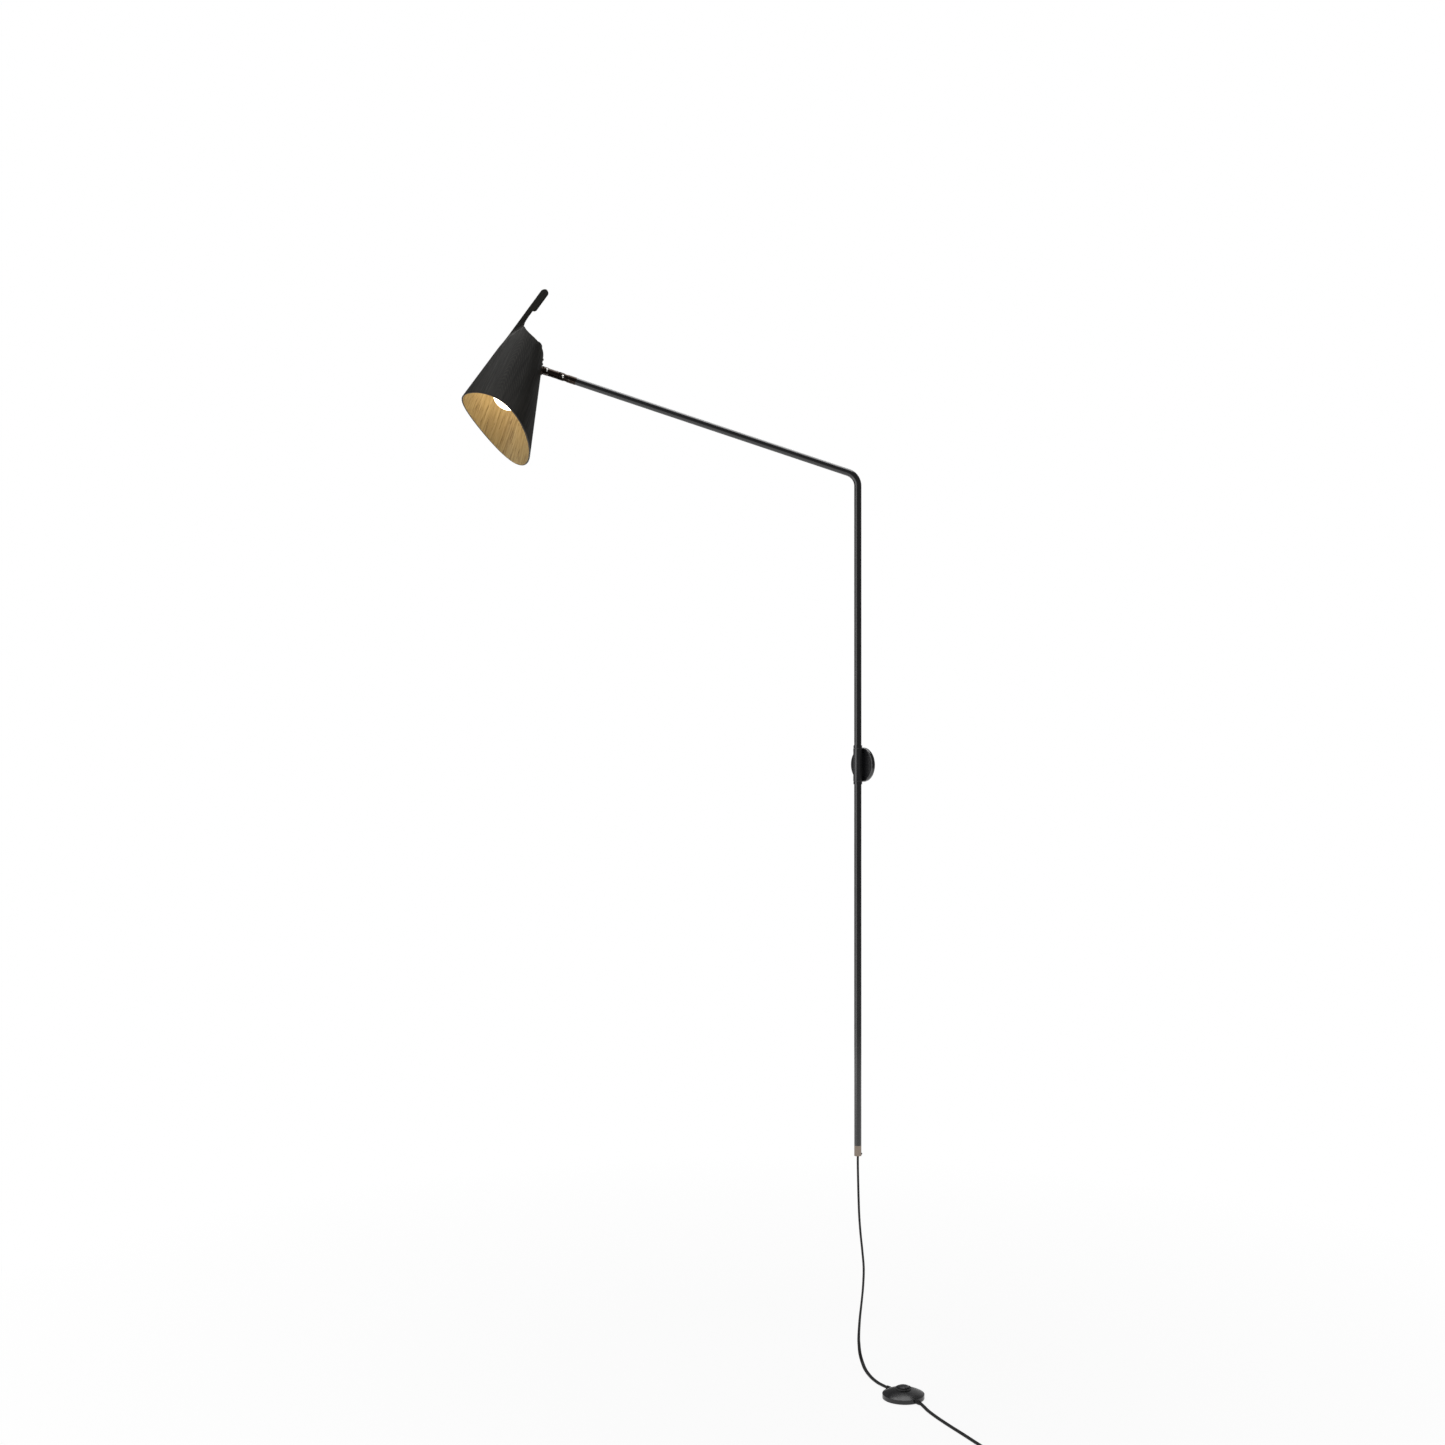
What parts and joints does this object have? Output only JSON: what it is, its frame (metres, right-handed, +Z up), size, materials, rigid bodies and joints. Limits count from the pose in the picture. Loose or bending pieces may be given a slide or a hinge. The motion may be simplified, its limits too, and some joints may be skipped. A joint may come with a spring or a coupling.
{
  "type": "swing arm wall lamp",
  "caption": "Wall lamp: a long bent tube swings in a wall pivot and carries a folded veneer cone shade on a double knuckle; flat cord with foot switch and plug.",
  "frame": {"origin": "centre of the wall bracket's back face, on the wall", "axes": "+Y into the wall, -Y into the room, +Z up along the tube's lower leg"},
  "size_m": [0.9687, 0.6017, 1.8948],
  "materials": {
    "satin_black": "semi-gloss black lacquer on steel",
    "dark_bronze": "polished dark bronze plate",
    "zinc_steel": "zinc-plated steel",
    "dark_screw": "blackened steel",
    "bush_plastic": "grey nylon",
    "stained_veneer": "bent veneer, black stain outside, natural golden wood inside",
    "cord_black": "smooth black cord jacket",
    "switch_black": "moulded black plastic",
    "button_grey": "moulded dark grey plastic",
    "foot_rubber": "matte rubber",
    "holder_black": "moulded black thermoset",
    "porcelain": "glazed",
    "brass": "bright",
    "opal_glass": "opal, softly glossy",
    "bulb_white": "moulded white plastic",
    "base_nickel": "rolled nickel-plated shell",
    "pin_nickel": "nickel-plated"
  },
  "bodies": {
    "wall": {"wall_bracket": "zinc_steel", "cover_plate": "satin_black", "cover_screw": "dark_screw", "pivot_sleeve": "satin_black", "sleeve_screws": "zinc_steel", "upper_bush": "bush_plastic", "lower_bush": "bush_plastic", "switch_pad": "foot_rubber", "switch_base": "switch_black", "switch_cover": "switch_black", "switch_screws": "zinc_steel", "switch_contacts": "porcelain", "switch_spring": "zinc_steel", "switch_inlet": "cord_black", "switch_outlet": "cord_black", "lamp_cord": "cord_black", "mains_cord": "cord_black", "mains_coil": "cord_black", "coil_tie": "cord_black", "plug_body": "switch_black", "plug_pins": "pin_nickel", "plug_relief": "cord_black"},
    "arm": {"bent_tube": "satin_black", "upper_collar": "satin_black", "lower_collar": "satin_black", "collar_screws": "dark_screw", "bottom_ferrule": "dark_bronze", "ferrule_screw": "dark_screw", "cord_grip": "cord_black", "tube_flex": "cord_black", "arm_fork": "dark_bronze", "arm_fork_screw": "dark_screw", "elbow_screw": "zinc_steel", "elbow_nut": "zinc_steel", "elbow_washers": "zinc_steel"},
    "link": {"link_barrel": "dark_bronze", "link_set_screw": "dark_screw"},
    "swivel": {"swivel_fork": "dark_bronze", "shade_screw": "zinc_steel", "shade_nut": "zinc_steel", "shade_washers": "zinc_steel"},
    "shade": {"shade_knuckle": "dark_bronze", "stem_nut": "zinc_steel", "shade_bracket": "satin_black", "bracket_screws": "dark_screw", "bracket_nuts": "zinc_steel", "shade_shell": "stained_veneer", "holder_nipple": "zinc_steel", "holder_nuts": "zinc_steel", "holder_cap": "holder_black", "holder_body": "holder_black", "holder_insert": "porcelain", "holder_contact": "brass", "head_flex": "cord_black", "bulb_glass": "opal_glass", "bulb_collar": "bulb_white", "bulb_base": "base_nickel"},
    "button": {"switch_button": "button_grey"}
  },
  "joints": [
    {"name": "arm_swing", "type": "hinge", "parent": "wall", "child": "arm", "pos_m": [0, -0.014, 0], "axis": [0, 0, 1], "range_deg": [-44, 116]},
    {"name": "elbow_tilt", "type": "hinge", "parent": "arm", "child": "link", "pos_m": [-0.30323, -0.43136, 0.67861], "axis": [0.809, -0.5878, 0], "range_deg": [-30, 30]},
    {"name": "shade_roll", "type": "hinge", "parent": "link", "child": "swivel", "pos_m": [-0.31162, -0.4429, 0.68338], "axis": [-0.5574, -0.7672, 0.3173], "range_deg": [-111, 69]},
    {"name": "shade_tilt", "type": "hinge", "parent": "swivel", "child": "shade", "pos_m": [-0.31995, -0.45438, 0.68813], "axis": [0.8221, -0.4568, 0.3398], "range_deg": [-40, 40]},
    {"name": "switch_press", "type": "slide", "parent": "wall", "child": "button", "axis": [0, 0, -1], "range_m": [0, 0.003], "stiffness_N_per_m": 1500, "springref_m": -0.002, "deforming": ["switch_spring"]}
  ]
}
